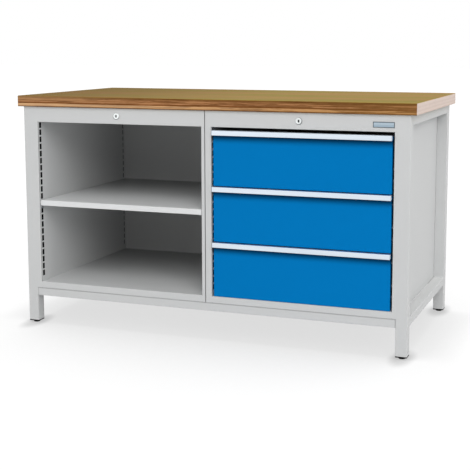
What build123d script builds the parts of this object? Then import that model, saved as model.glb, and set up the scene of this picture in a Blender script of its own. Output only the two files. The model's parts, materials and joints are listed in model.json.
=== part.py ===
"""Workbench with an open shelf cabinet on the left and a three-drawer cabinet on the right.

Millimetres.  X runs along the bench (positive to the right), Y from front to back, Z up.
The origin is on the floor, at the centre of the closed bench's outline.
"""

import os
from math import sqrt

from build123d import *

# ---------------------------------------------------------------- driving dimensions

# Whole bench
bench_width = 1500
worktop_depth = 750
bench_height = 865
worktop_thickness = 40
worktop_edge = 1.5  # chamfer around the top

# Frame of square tube
leg_size = 40
leg_wall = 2
tube_edge = 1  # chamfer along the corners of every frame tube
side_overhang = 20  # worktop past the legs, at each end
front_overhang = 8
rear_overhang = 12
rail_height = 30  # rails below the cabinets
rail_floor_gap = 109  # floor to the underside of those rails
top_rail_height = 35  # side rails under the worktop
rear_rail_height = 40
rear_rail_depth = 20

# Levelling feet
pad_diameter = 24
pad_height = 7
pad_sides = 24  # flats moulded round the rim of a pad
spindle_diameter = 10
spindle_length = 34
cap_flange = 4
cap_plug_length = 24
cap_plug_edge = 2
foot_travel = 20

# Cabinets
cabinet_depth = 710
cabinet_gap = 2  # seam between the two cabinets
sheet = 1.0
bend = 1.5  # outside bend radius of folded sheet
fascia_height = 57
sill_height = 24  # front lip of the cabinet floor
left_cabinet_stiles = (19, 13)  # left and right of the opening
right_cabinet_stiles = (24, 14)
interior_depth = 694  # front plane to the back panel
fold_depth = 15  # flanges on the back and top panels
rail_foot = 20  # flange of the floor that stands on the frame rail
fascia_top_return = 20  # flange under the worktop; the top plate starts behind it
fascia_return = 25
fascia_lip = 12

# Slots for shelf clips and runners
slot_count = 22
slot_pitch = 26.7
slot_height = 18.6
slot_width = 11
rear_slot_width = 5
slot_setback = 8.6  # front plane to the front slots, back panel to the rear ones
first_slot_drop = 13  # opening top to the centre of the top slot

# Shelf and clips
shelf_slot = 11  # counted down from 0, the slot that carries the shelf
shelf_lip = 20
shelf_return = 18
shelf_setback = 3
shelf_side_gap = 1.5
shelf_rear_gap = 4
clip_sheet = 2
clip_reach = 13
clip_leg = 12
clip_play = 0.3
shelf_travel = 600

# Locks
barrel_diameter = 19
barrel_flange = 24
barrel_flange_thickness = 2.5
barrel_edge = 1
barrel_length = 25
plug_diameter = 13
plug_recess = 0.6
keyhole_width = 2
keyhole_height = 8
keyhole_depth = 9
tail_size = 7
tail_length = 12
tail_gap = 1  # barrel to the square tail
lock_nut_size = 24
lock_nut_thickness = 4
cam_width = 16
cam_thickness = 2.5
cam_reach = 38
cam_gap = 2  # along the tail, in front of the cam

# Central lock of the drawers
lock_rod_diameter = 8
rod_socket_diameter = 14
rod_socket_length = 16
rod_socket_gap = 1  # along the tail, in front of the socket
bar_lift = 10
bar_width = 30
bar_thickness = 3
bar_rear_gap = 0.5
bar_foot = 20  # bar end above the cabinet floor
crank_width = 9
crank_thickness = 2.5
crank_pin_diameter = 5
crank_slot_play = 0.5
crank_bar_gap = 1
hook_sheet = 2.5
hook_rise = 12.5
hook_play = 1.5  # hook to catch, along the travel
catch_sheet = 1.2
catch_width = 20
catch_reach = 22
catch_lip = 12
catch_height = 60  # above the tray floor
hook_drop = 3  # unlocked hook below the catch
guide_sheet = 1.2
guide_play = 0.4
guide_height = 20
guide_flange = 14
guide_inset = 3  # lower guide above the foot of the bar
guide_drop = 90  # upper guide below the lock
hanger_width = 40
hanger_flange = 20

# Drawers
drawer_count = 3
drawer_pitch = 198.5
drawer_gap = 2.5  # between fronts
drawer_base_gap = 1
front_side_gap = 7
front_thickness = 18
front_sheet = 1.2
drawer_travel = 550
tray_length = 620
tray_height = 150
tray_lift = 14  # tray floor above the bottom edge of the front
tray_rim = 8
tray_rim_lip = 6
divider_slot_width = 3
divider_slot_height = 60
divider_slot_count = 6

# Aluminium grip along the top of each front
grip_height = 17.5
grip_reach = 14
grip_wall = 2
grip_side_gap = 6
grip_nose_radius = 2.4
grip_lower_radius = 1
grip_bead = 1.5
grip_leg = 1.5  # against the front
grip_hook = 10

# Telescopic runners, measured out from the cabinet wall
runner_space = 13
runner_height = 45
runner_sheet = 1.5
runner_play = 0.5
runner_lip = 2
runner_setback = 2  # behind the tray's front
cabinet_rail_depth = 10.5
moving_rail_length = 600
runner_height_in_tray = 50  # runner centre above the tray floor

# Plate, screws and bolts
plate_width = 73
plate_height = 19
plate_thickness = 1.5
plate_rim = 1.5
plate_recess = 0.5
plate_side_gap = 0  # to the right edge of the opening
plate_drop = 5  # below the lock
screw_diameter = 6
screw_length = 30
screw_head_diameter = 10
screw_head_height = 4
screw_inset = 100  # from the front and back edges of a cabinet's top plate
bolt_diameter = 8
bolt_head_diameter = 13
bolt_head_height = 5
bolt_inset = 20  # front bolt, behind the front plane
bolt_grip = 8  # thread that stands out for the nut
hole_play = 0.1
running_play = 0.05  # radial, shaft in its bore

# ---------------------------------------------------------------- derived planes and edges

grip_overhang = grip_reach - front_overhang  # grips past the front of the worktop
overall_depth = worktop_depth + grip_overhang
worktop_front = -overall_depth / 2 + grip_overhang
worktop_back = overall_depth / 2
front = worktop_front + front_overhang
frame_back = worktop_back - rear_overhang
cabinet_back = front + cabinet_depth
panel_face = front + interior_depth  # front of the back panels

frame_side = bench_width / 2 - side_overhang
leg_inner = frame_side - leg_size
frame_top = bench_height - worktop_thickness
leg_bottom = pad_height + cap_flange
rail_top = rail_floor_gap + rail_height
opening_top = frame_top - fascia_height
opening_bottom = rail_top + sill_height
lock_level = opening_top + fascia_height / 2
plate_level = lock_level - plate_drop

left_opening = (-leg_inner + left_cabinet_stiles[0], -cabinet_gap / 2 - left_cabinet_stiles[1])
right_opening = (cabinet_gap / 2 + right_cabinet_stiles[0], leg_inner - right_cabinet_stiles[1])
lock_offset = (leg_inner + cabinet_gap / 2) / 2

slot_levels = [opening_top - first_slot_drop - slot_pitch * k for k in range(slot_count)]
shelf_base = slot_levels[shelf_slot] - slot_height / 2 + clip_sheet
front_slot_y = front + slot_setback + slot_width / 2
rear_slot_y = panel_face - slot_setback - rear_slot_width / 2
bolt_rows = (front + bolt_inset, (panel_face + sheet + cabinet_back) / 2)

os.makedirs("parts", exist_ok=True)


def save(part, name):
    """Label a finished piece and write it as its own STEP file."""
    part.label = name
    export_step(part, f"parts/{name}.step")


# ---------------------------------------------------------------- shared shapes


def along_x(x, y, z):
    """Work plane facing +X, drawn in (Y, Z)."""
    return Plane((x, y, z), x_dir=(0, 1, 0), z_dir=(1, 0, 0))


def facing_front(x, y, z):
    """Work plane facing -Y, drawn in (X, Z)."""
    return Plane((x, y, z), x_dir=(1, 0, 0), z_dir=(0, -1, 0))


def facing_back(x, y, z):
    """Work plane facing +Y, drawn in (-X, Z)."""
    return Plane((x, y, z), x_dir=(-1, 0, 0), z_dir=(0, 1, 0))


def rectangular_tube(plane, width, height, length):
    """Frame tube with broken corners, from the plane along its normal."""
    with BuildPart() as tube:
        with BuildSketch(plane) as section:
            Rectangle(width, height)
            chamfer(section.vertices(), length=tube_edge)
            Rectangle(width - 2 * leg_wall, height - 2 * leg_wall, mode=Mode.SUBTRACT)
        extrude(amount=length)
    return tube.part


def folded_strip(plane, points, thickness, length, side=Side.RIGHT):
    """Sheet folded along the points, one face on them, extruded along the plane's normal."""
    with BuildPart() as strip:
        with BuildSketch(plane):
            with BuildLine():
                FilletPolyline(*points, radius=bend)
                offset(amount=thickness, side=side)
            make_face()
        extrude(amount=length)
    return strip.part


def creased_strip(plane, points, thickness, length, side=Side.RIGHT):
    """The same for the small fittings of thicker sheet, which are folded sharp."""
    with BuildPart() as strip:
        with BuildSketch(plane):
            with BuildLine():
                Polyline(*points)
                offset(amount=thickness, side=side, kind=Kind.INTERSECTION)
            make_face()
        extrude(amount=length)
    return strip.part


# ---------------------------------------------------------------- frame


def build_worktop():
    """Plywood top, with blind pilot holes for the screws that come up through the cabinets."""
    with BuildPart() as worktop:
        with BuildSketch(Plane.XY.offset(frame_top)):
            with Locations((0, (worktop_front + worktop_back) / 2)):
                Rectangle(bench_width, worktop_depth)
        extrude(amount=worktop_thickness)
        chamfer(worktop.edges().group_by(Axis.Z)[-1], length=worktop_edge)
        with BuildSketch(Plane.XY.offset(frame_top)):
            with Locations(*screw_places()):
                Circle(screw_diameter / 2 + hole_play / 2)
        extrude(amount=screw_length, mode=Mode.SUBTRACT)
    save(worktop.part, "worktop")


def screw_places():
    """Worktop screws: one near the front and one near the back of each cabinet's top plate."""
    rows = (front + fascia_top_return + screw_inset, panel_face - screw_inset)
    return [(span(opening)[0], y) for opening in (left_opening, right_opening) for y in rows]


def build_worktop_screws():
    """Hexagon-head screws from inside the cabinets, up into the worktop."""
    with BuildPart() as screws:
        with BuildSketch(Plane.XY.offset(frame_top - sheet)):
            with Locations(*screw_places()):
                Circle(screw_diameter / 2)
        extrude(amount=screw_length)
        with BuildSketch(Plane.XY.offset(frame_top - sheet)):
            with Locations(*screw_places()):
                RegularPolygon(screw_head_diameter / 2, side_count=6, major_radius=False)
        extrude(amount=-screw_head_height)
    save(screws.part, "worktop_screws")


def leg_places():
    """Leg centres by name."""
    inset = leg_size / 2
    return {
        f"{row}_{side}": (x, y)
        for row, y in (("front", front + inset), ("rear", frame_back - inset))
        for side, x in (("left", -frame_side + inset), ("right", frame_side - inset))
    }


def build_legs():
    """Square-tube legs; the cabinets' outer walls are welded to their inner faces."""
    for name, (x, y) in leg_places().items():
        tube = rectangular_tube(Plane((x, y, leg_bottom)), leg_size, leg_size, frame_top - leg_bottom)
        save(tube, f"leg_{name}")


def build_rails():
    """Front and rear rails between the legs, and the pairs of end rails."""
    inner_span = 2 * leg_inner
    low_centre = rail_floor_gap + rail_height / 2
    front_rail = rectangular_tube(
        along_x(-leg_inner, front + leg_size / 2, low_centre), leg_size, rail_height, inner_span
    )
    save(front_rail, "front_rail")
    rear_rail = rectangular_tube(
        along_x(-leg_inner, frame_back - leg_size / 2, low_centre), leg_size, rail_height, inner_span
    )
    save(rear_rail, "rear_bottom_rail")
    rear_top = rectangular_tube(
        along_x(-leg_inner, frame_back - rear_rail_depth / 2, frame_top - rear_rail_height / 2),
        rear_rail_depth,
        rear_rail_height,
        inner_span,
    )
    save(rear_top, "rear_top_rail")

    end_span = frame_back - front - 2 * leg_size
    for name, height, top in (
        ("end_top_rails", top_rail_height, frame_top),
        ("end_bottom_rails", rail_height, rail_top),
    ):
        start = (frame_side - leg_size / 2, front + leg_size, top - height / 2)
        right_rail = rectangular_tube(facing_back(*start), leg_size, height, end_span)
        with BuildPart() as rails:
            add(right_rail)
            mirror(about=Plane.YZ)
        save(rails.part, name)


def build_leg_caps():
    """Plastic caps: a flange under each leg and a bored plug inside it."""
    with BuildPart() as caps:
        with BuildSketch(Plane.XY.offset(pad_height)):
            with Locations(*leg_places().values()):
                Rectangle(leg_size, leg_size)
        extrude(amount=cap_flange)
        chamfer(caps.edges().filter_by(Axis.Z), length=tube_edge)
        plug_size = leg_size - 2 * leg_wall - 2 * hole_play
        with BuildSketch(Plane.XY.offset(leg_bottom)):
            with Locations(*leg_places().values()):
                Rectangle(plug_size, plug_size)
        extrude(amount=cap_plug_length)
        chamfer(caps.edges().group_by(Axis.Z)[-1], length=cap_plug_edge)
        with BuildSketch(Plane.XY.offset(pad_height)):
            with Locations(*leg_places().values()):
                Circle(spindle_diameter / 2 + running_play)
        extrude(amount=cap_flange + cap_plug_length, mode=Mode.SUBTRACT)
    save(caps.part, "leg_caps")


def build_feet():
    """Levelling foot: a many-sided pad with the spindle that screws into the leg cap."""
    for name, place in leg_places().items():
        with BuildPart() as foot:
            with BuildSketch():
                with Locations(place):
                    RegularPolygon(radius=pad_diameter / 2, side_count=pad_sides)
            extrude(amount=pad_height)
            with BuildSketch(Plane.XY.offset(pad_height)):
                with Locations(place):
                    Circle(spindle_diameter / 2)
            extrude(amount=spindle_length)
        save(foot.part, f"foot_{name}")


# ---------------------------------------------------------------- cabinets


def build_wall(name, opening_x, outer_x, rear_levels=(), bolted=False):
    """Double-skinned side wall, folded round, with slots in the skin that faces the opening."""
    inward = 1 if opening_x > outer_x else -1
    width = abs(opening_x - outer_x)
    middle = ((opening_x + outer_x) / 2, front + cabinet_depth / 2)
    with BuildPart() as wall:
        with BuildSketch(Plane.XY.offset(rail_top)) as profile:
            with Locations(middle):
                Rectangle(width, cabinet_depth)
            fillet(profile.vertices().group_by(Axis.X)[-1 if inward > 0 else 0], radius=bend)
            with Locations(middle):
                Rectangle(width - 2 * sheet, cabinet_depth - 2 * sheet, mode=Mode.SUBTRACT)
        extrude(amount=frame_top - rail_top)
        with BuildSketch(along_x(opening_x, 0, 0)):
            with Locations(*[(front_slot_y, z) for z in slot_levels]):
                Rectangle(slot_width, slot_height)
            if rear_levels:
                with Locations(*[(rear_slot_y, z) for z in rear_levels]):
                    Rectangle(rear_slot_width, slot_height)
        extrude(amount=-inward * sheet, mode=Mode.SUBTRACT)
        if bolted:
            with BuildSketch(along_x(opening_x, 0, 0)):
                with Locations(*[(y, lock_level) for y in bolt_rows]):
                    Circle(bolt_diameter / 2 + hole_play)
            extrude(amount=-inward * width, mode=Mode.SUBTRACT)
    save(wall.part, name)


def span(opening):
    """Centre and width of an opening."""
    return (opening[0] + opening[1]) / 2, opening[1] - opening[0]


def build_back(name, opening, bolted_x):
    """Back panel: a shallow tray with its flanges turned to the rear, one drilled for the rear bolt."""
    centre, width = span(opening)
    height = frame_top - rail_top
    with BuildPart() as back:
        with BuildSketch(facing_back(centre, panel_face, (rail_top + frame_top) / 2)):
            Rectangle(width, height)
        extrude(amount=cabinet_back - panel_face)
        with BuildSketch(facing_back(centre, panel_face + sheet, (rail_top + frame_top) / 2)):
            Rectangle(width - 2 * sheet, height - 2 * sheet)
        extrude(amount=cabinet_back - panel_face - sheet, mode=Mode.SUBTRACT)
        with BuildSketch(along_x(bolted_x, bolt_rows[1], lock_level)):
            Circle(bolt_diameter / 2 + hole_play)
        extrude(amount=sheet, both=True, mode=Mode.SUBTRACT)
    save(back.part, name)


def build_floor(name, opening):
    """Floor: front lip with a foot on the front rail, and a flange down the back panel."""
    points = [
        (front + rail_foot, rail_top),
        (front, rail_top),
        (front, opening_bottom),
        (panel_face, opening_bottom),
        (panel_face, rail_top),
    ]
    save(folded_strip(along_x(opening[0], 0, 0), points, sheet, span(opening)[1]), name)


def build_top(name, opening):
    """Top plate under the worktop, side flanges turned down, drilled for the worktop screws."""
    points = [
        (opening[0], frame_top - fold_depth),
        (opening[0], frame_top),
        (opening[1], frame_top),
        (opening[1], frame_top - fold_depth),
    ]
    length = panel_face - front - fascia_top_return
    plate = folded_strip(facing_front(0, panel_face, 0), points, sheet, length)
    with BuildPart() as top:
        add(plate)
        with BuildSketch(Plane.XY.offset(frame_top)):
            with Locations(*[(x, y) for x, y in screw_places() if opening[0] < x < opening[1]]):
                Circle(screw_diameter / 2 + hole_play)
        extrude(amount=-sheet, mode=Mode.SUBTRACT)
    save(top.part, name)


def build_fascia(name, opening, lock_x):
    """Front panel above the opening, folded under and up again, with the lock hole."""
    points = [
        (front + fascia_return, opening_top + fascia_lip),
        (front + fascia_return, opening_top),
        (front, opening_top),
        (front, frame_top),
        (front + fascia_top_return, frame_top),
    ]
    folded = folded_strip(along_x(opening[0], 0, 0), points, sheet, span(opening)[1])
    with BuildPart() as fascia:
        add(folded)
        with BuildSketch(facing_front(lock_x, front, lock_level)):
            Circle(barrel_diameter / 2 + hole_play)
        extrude(amount=-sheet, mode=Mode.SUBTRACT)
    save(fascia.part, name)


def build_cabinets():
    """Both housings: two walls, back, floor, top plate and fascia each.

    Only the cabinet with the shelf has slots at the back, and only the two walls that meet in the
    middle are bolted.
    """
    edge = cabinet_gap / 2
    build_wall("left_cabinet_left_wall", left_opening[0], -leg_inner, slot_levels)
    build_wall("left_cabinet_right_wall", left_opening[1], -edge, slot_levels, bolted=True)
    build_wall("right_cabinet_left_wall", right_opening[0], edge, bolted=True)
    build_wall("right_cabinet_right_wall", right_opening[1], leg_inner)
    for side, opening, lock_x, seam_x in (
        ("left", left_opening, -lock_offset, left_opening[1]),
        ("right", right_opening, lock_offset, right_opening[0]),
    ):
        build_back(f"{side}_cabinet_back", opening, seam_x)
        build_floor(f"{side}_cabinet_floor", opening)
        build_top(f"{side}_cabinet_top", opening)
        build_fascia(f"{side}_cabinet_fascia", opening, lock_x)


def build_cabinet_bolts():
    """Two bolts from inside the left cabinet, through the seam and into the right one."""
    rear_flange = sheet
    with BuildPart() as bolts:
        for y, flange in zip(bolt_rows, (0, rear_flange)):
            head_x = left_opening[1] - flange
            tip_x = right_opening[0] + flange + bolt_grip
            with BuildSketch(along_x(head_x, y, lock_level)):
                Circle(bolt_diameter / 2)
            extrude(amount=tip_x - head_x)
            with BuildSketch(along_x(head_x, y, lock_level)):
                RegularPolygon(bolt_head_diameter / 2, side_count=6, major_radius=False, rotation=30)
            extrude(amount=-bolt_head_height)
    save(bolts.part, "cabinet_bolts")


# ---------------------------------------------------------------- shelf


def build_shelf():
    """Folded shelf: closed lips all round and a return behind the front lip."""
    centre, width = span(left_opening)
    shelf_front = front + shelf_setback
    depth = panel_face - shelf_rear_gap - shelf_front
    shelf_width = width - 2 * shelf_side_gap
    with BuildPart() as shelf:
        with BuildSketch(Plane.XY.offset(shelf_base)):
            with Locations((centre, shelf_front + depth / 2)):
                Rectangle(shelf_width, depth)
        extrude(amount=shelf_lip)
        fillet(shelf.edges().group_by(Axis.Z)[-1], radius=bend)
        with BuildSketch(Plane.XY.offset(shelf_base)):
            with Locations((centre, shelf_front + depth / 2)):
                Rectangle(shelf_width - 2 * sheet, depth - 2 * sheet)
        extrude(amount=shelf_lip - sheet, mode=Mode.SUBTRACT)
        with BuildSketch(Plane.XY.offset(shelf_base)):
            with Locations((centre, shelf_front + shelf_return / 2)):
                Rectangle(shelf_width - 2 * sheet, shelf_return - 2 * sheet)
        extrude(amount=sheet)
    save(shelf.part, "shelf")


def build_shelf_clips():
    """Clips that straddle the wall skin below a slot and carry the shelf on their tongues."""
    behind = sheet + clip_play
    with BuildPart() as clips:
        for wall_x, inward in ((left_opening[0], 1), (left_opening[1], -1)):
            for y, width in ((front_slot_y, slot_width), (rear_slot_y, rear_slot_width)):
                hook_x = wall_x - inward * (behind + clip_sheet)
                tongue_x = wall_x + inward * clip_reach
                with BuildSketch(facing_front(0, y + width / 2 - clip_play, 0)):
                    with BuildLine():
                        Polyline(
                            (hook_x, shelf_base),
                            (tongue_x, shelf_base),
                            (tongue_x, shelf_base - clip_sheet),
                            (wall_x + inward * (clip_play + clip_sheet), shelf_base - clip_sheet),
                            (wall_x + inward * (clip_play + clip_sheet), shelf_base - clip_leg),
                            (wall_x + inward * clip_play, shelf_base - clip_leg),
                            (wall_x + inward * clip_play, shelf_base - clip_sheet),
                            (wall_x - inward * behind, shelf_base - clip_sheet),
                            (wall_x - inward * behind, shelf_base - clip_leg),
                            (hook_x, shelf_base - clip_leg),
                            close=True,
                        )
                    make_face()
                extrude(amount=width - 2 * clip_play)
    save(clips.part, "shelf_clips")


# ---------------------------------------------------------------- locks

barrel_end = front + barrel_length
tail_start = barrel_end + tail_gap
crank_radius = bar_lift / sqrt(2)  # the crank swings from 45 degrees below level to 45 above
bar_back = panel_face - bar_rear_gap
bar_front = bar_back - bar_thickness
crank_back = bar_front - crank_bar_gap


def build_lock_barrels():
    """Flanged lock barrels in the fascias, bored for their plugs."""
    with BuildPart() as barrels:
        for x in (-lock_offset, lock_offset):
            with BuildSketch(facing_front(x, front, lock_level)):
                Circle(barrel_flange / 2)
            extrude(amount=barrel_flange_thickness)
        chamfer(barrels.edges().group_by(Axis.Y)[0], length=barrel_edge)
        for x in (-lock_offset, lock_offset):
            with BuildSketch(facing_front(x, front, lock_level)):
                Circle(barrel_diameter / 2)
            extrude(amount=-barrel_length)
            with BuildSketch(facing_front(x, front - barrel_flange_thickness, lock_level)):
                Circle(plug_diameter / 2)
            extrude(amount=-barrel_flange_thickness - barrel_length, mode=Mode.SUBTRACT)
    save(barrels.part, "lock_barrels")


def build_lock_nuts():
    """Hexagon nuts that clamp the barrels behind the fascia sheet."""
    with BuildPart() as nuts:
        with BuildSketch(facing_front(0, front + sheet, lock_level)):
            with Locations((-lock_offset, 0), (lock_offset, 0)):
                RegularPolygon(lock_nut_size / 2, side_count=6, major_radius=False)
                Circle(barrel_diameter / 2 + hole_play, mode=Mode.SUBTRACT)
        extrude(amount=-lock_nut_thickness)
    save(nuts.part, "lock_nuts")


def build_lock_plug(name, x):
    """Turning plug: keyhole in front, square tail behind."""
    plug_front = front - barrel_flange_thickness + plug_recess
    with BuildPart() as plug:
        with BuildSketch(facing_front(x, plug_front, lock_level)):
            Circle(plug_diameter / 2 - running_play)
        extrude(amount=plug_front - tail_start)
        with BuildSketch(facing_front(x, tail_start, lock_level)):
            Rectangle(tail_size, tail_size)
        extrude(amount=-tail_length)
        with BuildSketch(facing_front(x, plug_front, lock_level)):
            Rectangle(keyhole_width, keyhole_height)
        extrude(amount=-keyhole_depth, mode=Mode.SUBTRACT)
    save(plug.part, name)


def build_lock_cam():
    """Cam of the left lock, lying level when unlocked."""
    with BuildPart() as cam:
        with BuildSketch(facing_front(-lock_offset, tail_start + cam_gap, lock_level)) as outline:
            with Locations(((cam_reach - cam_width / 2) / 2, 0)):
                Rectangle(cam_reach + cam_width / 2, cam_width)
            chamfer(outline.vertices(), length=cam_width / 4)
            Rectangle(tail_size + hole_play, tail_size + hole_play, mode=Mode.SUBTRACT)
        extrude(amount=-cam_thickness)
    save(cam.part, "left_lock_cam")


def build_lock_rod():
    """Rod turned by the right lock: socket on the plug's tail, shaft, crank and crank pin."""
    socket_start = tail_start + rod_socket_gap
    crank_front = crank_back - crank_thickness
    offset = crank_radius / sqrt(2)
    with BuildPart() as rod:
        with BuildSketch(facing_back(lock_offset, socket_start, lock_level)):
            Circle(rod_socket_diameter / 2)
        extrude(amount=rod_socket_length)
        with BuildSketch(facing_back(lock_offset, socket_start, lock_level)):
            Rectangle(tail_size + hole_play, tail_size + hole_play)
        extrude(amount=tail_length, mode=Mode.SUBTRACT)
        with BuildSketch(facing_back(lock_offset, socket_start + rod_socket_length, lock_level)):
            Circle(lock_rod_diameter / 2)
        extrude(amount=crank_front - socket_start - rod_socket_length)
        with BuildSketch(facing_back(lock_offset, crank_front, lock_level)):
            with Locations(Location((offset / 2, -offset / 2), -45)):
                Rectangle(crank_radius + crank_width, crank_width)
        extrude(amount=crank_thickness)
        with BuildSketch(facing_back(lock_offset - offset, crank_back, lock_level - offset)):
            Circle(crank_pin_diameter / 2)
        extrude(amount=bar_back - crank_back)
    save(rod.part, "lock_rod")


def drawer_base(number):
    """Bottom edge of a drawer front; drawer 1 is the top one."""
    return opening_bottom + drawer_base_gap + (drawer_count - number) * drawer_pitch


def catch_level(number):
    """Top of the catch on the back of a drawer."""
    return drawer_base(number) + tray_lift + catch_height


tray_front = front + front_thickness
tray_back = tray_front + tray_length
catch_face = tray_back + catch_reach - catch_sheet  # front face of the catch's lip
hook_front = catch_face - hook_play - hook_sheet


def build_lock_bar():
    """Upright bar behind the drawers, slotted for the crank pin."""
    bottom = opening_bottom + bar_foot
    top = lock_level + bar_width / 2
    offset = crank_radius / sqrt(2)
    slot_outer = crank_radius + crank_pin_diameter / 2 + crank_slot_play
    slot_inner = offset - crank_pin_diameter / 2 - crank_slot_play
    with BuildPart() as bar:
        with BuildSketch(facing_front(lock_offset, bar_back, 0)):
            with Locations((0, (bottom + top) / 2)):
                Rectangle(bar_width, top - bottom)
            with Locations((-(slot_outer + slot_inner) / 2, lock_level - offset)):
                Rectangle(
                    slot_outer - slot_inner, crank_pin_diameter + 2 * crank_slot_play, mode=Mode.SUBTRACT
                )
        extrude(amount=bar_thickness)
    save(bar.part, "lock_bar")


def build_lock_hooks():
    """One folded hook for each drawer, welded to the front of the lock bar."""
    place = along_x(lock_offset - catch_width / 2, 0, 0)
    folded = []
    for number in range(1, drawer_count + 1):
        tip = catch_level(number) - catch_lip - hook_drop
        points = [(bar_front, tip - hook_rise), (hook_front, tip - hook_rise), (hook_front, tip)]
        folded.append(creased_strip(place, points, hook_sheet, catch_width))
    with BuildPart() as hooks:
        add(folded)
    save(hooks.part, "lock_hooks")


def build_lock_brackets():
    """Two guides that hold the lock bar to the back panel, and the hanger that carries the rod."""
    half = bar_width / 2 + guide_play
    inner_y = bar_front - guide_play
    points = [
        (-half - guide_flange, panel_face),
        (-half, panel_face),
        (-half, inner_y),
        (half, inner_y),
        (half, panel_face),
        (half + guide_flange, panel_face),
    ]
    hanger_y = tray_back
    hanger_top = frame_top - sheet
    hanger = [
        (hanger_y + hanger_flange, hanger_top),
        (hanger_y, hanger_top),
        (hanger_y, lock_level - lock_rod_diameter),
    ]
    place = along_x(lock_offset - hanger_width / 2, 0, 0)
    folded = [creased_strip(place, hanger, guide_sheet, hanger_width, Side.LEFT)]
    for level in (opening_bottom + bar_foot + guide_inset, lock_level - guide_drop):
        folded.append(creased_strip(Plane((lock_offset, 0, level)), points, guide_sheet, guide_height))
    with BuildPart() as brackets:
        add(folded)
        with BuildSketch(facing_back(lock_offset, hanger_y, lock_level)):
            Circle(lock_rod_diameter / 2 + running_play)
        extrude(amount=guide_sheet, mode=Mode.SUBTRACT)
    save(brackets.part, "lock_brackets")


# ---------------------------------------------------------------- drawers


def build_front(number):
    """Sheet front: a shallow box with its edges returned behind, under the grip."""
    left = right_opening[0] + front_side_gap
    right = right_opening[1] - front_side_gap
    base = drawer_base(number)
    height = drawer_pitch - drawer_gap - grip_wall
    width = right - left
    back_y = front + front_thickness
    middle = ((left + right) / 2, front, base + height / 2)
    with BuildPart() as panel:
        with BuildSketch(facing_back(*middle)):
            Rectangle(width, height)
        extrude(amount=front_thickness)
        fillet(panel.edges().group_by(Axis.Y)[0], radius=bend)
        with BuildSketch(facing_back(middle[0], front + front_sheet, middle[2])):
            Rectangle(width - 2 * front_sheet, height - 2 * front_sheet)
        extrude(amount=front_thickness - 2 * front_sheet, mode=Mode.SUBTRACT)
        with BuildSketch(facing_back(middle[0], back_y - front_sheet, middle[2])):
            Rectangle(width - 2 * fold_depth, height - 2 * fold_depth)
        extrude(amount=front_sheet, mode=Mode.SUBTRACT)
    save(panel.part, f"drawer_front_{number}")


def build_grip(number):
    """Extruded grip: a plate over the front, a rounded nose with a finger bead, and a screwing leg."""
    left = right_opening[0] + grip_side_gap
    length = right_opening[1] - grip_side_gap - left
    top = drawer_base(number) + drawer_pitch - drawer_gap
    nose = front - grip_reach
    under = top - grip_wall
    bead_top = top - grip_height + grip_bead
    leg_y = front - grip_leg
    with BuildPart() as grip:
        with BuildSketch(along_x(left, 0, 0)) as profile:
            with BuildLine():
                Polyline(
                    (front + grip_hook, top),
                    (nose, top),
                    (nose, top - grip_height),
                    (nose + grip_wall + grip_bead, top - grip_height),
                    (nose + grip_wall + grip_bead, bead_top),
                    (nose + grip_wall, bead_top),
                    (nose + grip_wall, under),
                    (leg_y, under),
                    (leg_y, top - grip_height + grip_wall),
                    (front, top - grip_height + grip_wall),
                    (front, under),
                    (front + grip_hook, under),
                    close=True,
                )
            make_face()
            upper_nose = profile.vertices().group_by(Axis.X)[0].sort_by(Axis.Y)[-1]
            fillet(upper_nose, radius=grip_nose_radius)
            lower_nose = profile.vertices().group_by(Axis.X)[0].sort_by(Axis.Y)[0]
            fillet(lower_nose, radius=grip_lower_radius)
        extrude(amount=length)
    save(grip.part, f"drawer_grip_{number}")


def build_tray(number):
    """Open steel tray with rolled side rims and slots for dividers."""
    left = right_opening[0] + runner_space
    right = right_opening[1] - runner_space
    floor = drawer_base(number) + tray_lift
    rim_top = floor + tray_height
    middle = ((left + right) / 2, (tray_front + tray_back) / 2)
    slot_step = tray_length / (divider_slot_count + 1)
    slot_z = rim_top - tray_rim - divider_slot_height / 2
    with BuildPart() as tray:
        with BuildSketch(Plane.XY.offset(floor)):
            with Locations(middle):
                Rectangle(right - left, tray_length)
        extrude(amount=tray_height)
        with BuildSketch(Plane.XY.offset(floor + sheet)):
            with Locations(middle):
                Rectangle(right - left - 2 * sheet, tray_length - 2 * sheet)
        extrude(amount=tray_height - sheet, mode=Mode.SUBTRACT)
        for wall_x, outward in ((left, -1), (right, 1)):
            with BuildSketch(facing_back(0, tray_front, 0)):
                with Locations((-(wall_x + outward * tray_rim / 2), rim_top - sheet / 2)):
                    Rectangle(tray_rim, sheet)
                with Locations((-(wall_x + outward * (tray_rim - sheet / 2)), rim_top - tray_rim_lip / 2)):
                    Rectangle(sheet, tray_rim_lip)
            extrude(amount=tray_length)
        with BuildSketch(along_x(left, middle[1], slot_z)):
            with GridLocations(slot_step, 0, divider_slot_count, 1):
                Rectangle(divider_slot_width, divider_slot_height)
        extrude(amount=right - left, mode=Mode.SUBTRACT)
    save(tray.part, f"drawer_tray_{number}")


def build_catch(number):
    """Folded catch on the back of the tray, for the lock hook to rise in front of."""
    under = catch_level(number) - catch_sheet
    points = [
        (tray_back, under + fold_depth),
        (tray_back, under),
        (catch_face, under),
        (catch_face, catch_level(number) - catch_lip),
    ]
    place = along_x(lock_offset - catch_width / 2, 0, 0)
    save(creased_strip(place, points, catch_sheet, catch_width, Side.LEFT), f"drawer_catch_{number}")


# ---------------------------------------------------------------- runners

runner_front = tray_front + runner_setback
moving_rail_back = runner_front + moving_rail_length
cabinet_rail_back = moving_rail_back + runner_play + runner_sheet
runner_walls = ((right_opening[0], 1), (right_opening[1], -1))

# Each rail nests in the one before it with the running play all round.
mid_height = runner_height - 2 * runner_sheet - 2 * runner_play
drawer_rail_height = mid_height - 2 * runner_sheet - 2 * runner_play
mid_web = runner_sheet + runner_play
mid_tip = cabinet_rail_depth - runner_sheet - runner_play
drawer_tip = mid_web + runner_sheet + runner_play


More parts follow.
